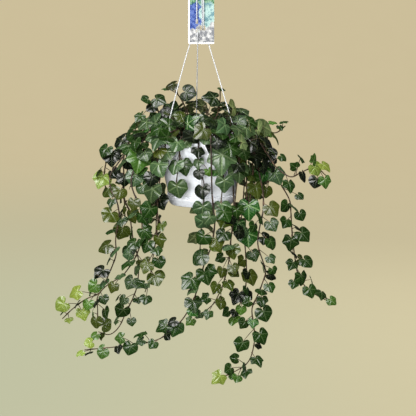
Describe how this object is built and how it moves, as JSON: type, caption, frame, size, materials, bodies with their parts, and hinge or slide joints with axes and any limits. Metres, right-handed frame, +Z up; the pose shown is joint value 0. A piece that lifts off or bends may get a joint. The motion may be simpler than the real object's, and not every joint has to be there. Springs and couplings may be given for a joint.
{
  "type": "potted ivy",
  "caption": "Trailing lobed-leaf ivy in a tapered hanging pot with a clipped saucer, held by a three-strand hanger with a hook and a picture card.",
  "frame": {"origin": "the point where the inside top of the hook rests on its carrier, straight above the pot's axis", "axes": "+Z up, along the pot's axis towards the hook; -Y is the front, the side the picture card faces; +X is to the right seen from the front"},
  "size_m": [0.5322, 0.2854, 0.7665],
  "materials": {
    "ivy": "living leaf, waxy semi-gloss, dark green with pale veins",
    "hanger_plastic": "white moulded plastic",
    "pot_plastic": "white moulded plastic, smooth",
    "potting_soil": "dark crumbly potting soil",
    "printed_card": null
  },
  "bodies": {
    "root": {"hanger_hook": "hanger_plastic", "hanger_strand_back": "hanger_plastic", "hanger_strand_left": "hanger_plastic", "hanger_strand_right": "hanger_plastic", "label_card": "printed_card", "pot": "pot_plastic", "saucer": "pot_plastic", "soil": "potting_soil", "vine_back_a": "ivy", "vine_back_b": "ivy", "vine_back_c": "ivy", "vine_back_d": "ivy", "vine_back_e": "ivy", "vine_back_f": "ivy", "vine_back_g": "ivy", "vine_back_h": "ivy", "vine_back_i": "ivy", "vine_crown_front_a": "ivy", "vine_crown_front_b": "ivy", "vine_crown_front_c": "ivy", "vine_crown_front_d": "ivy", "vine_crown_front_e": "ivy", "vine_crown_left_a": "ivy", "vine_crown_left_b": "ivy", "vine_crown_left_c": "ivy", "vine_crown_right_a": "ivy", "vine_crown_right_b": "ivy", "vine_far_right": "ivy", "vine_front_long": "ivy", "vine_front_right": "ivy", "vine_inner_a": "ivy", "vine_inner_b": "ivy", "vine_inner_c": "ivy", "vine_inner_d": "ivy", "vine_inner_e": "ivy", "vine_inner_f": "ivy", "vine_inner_g": "ivy", "vine_inner_h": "ivy", "vine_left_inner": "ivy", "vine_left_long": "ivy", "vine_left_loop": "ivy", "vine_left_pot_side": "ivy", "vine_right_inner": "ivy", "vine_right_long": "ivy", "vine_right_shoot": "ivy", "vine_top_left": "ivy", "vine_top_mid": "ivy", "vine_top_right": "ivy", "vine_upper_right": "ivy"}
  },
  "joints": []
}
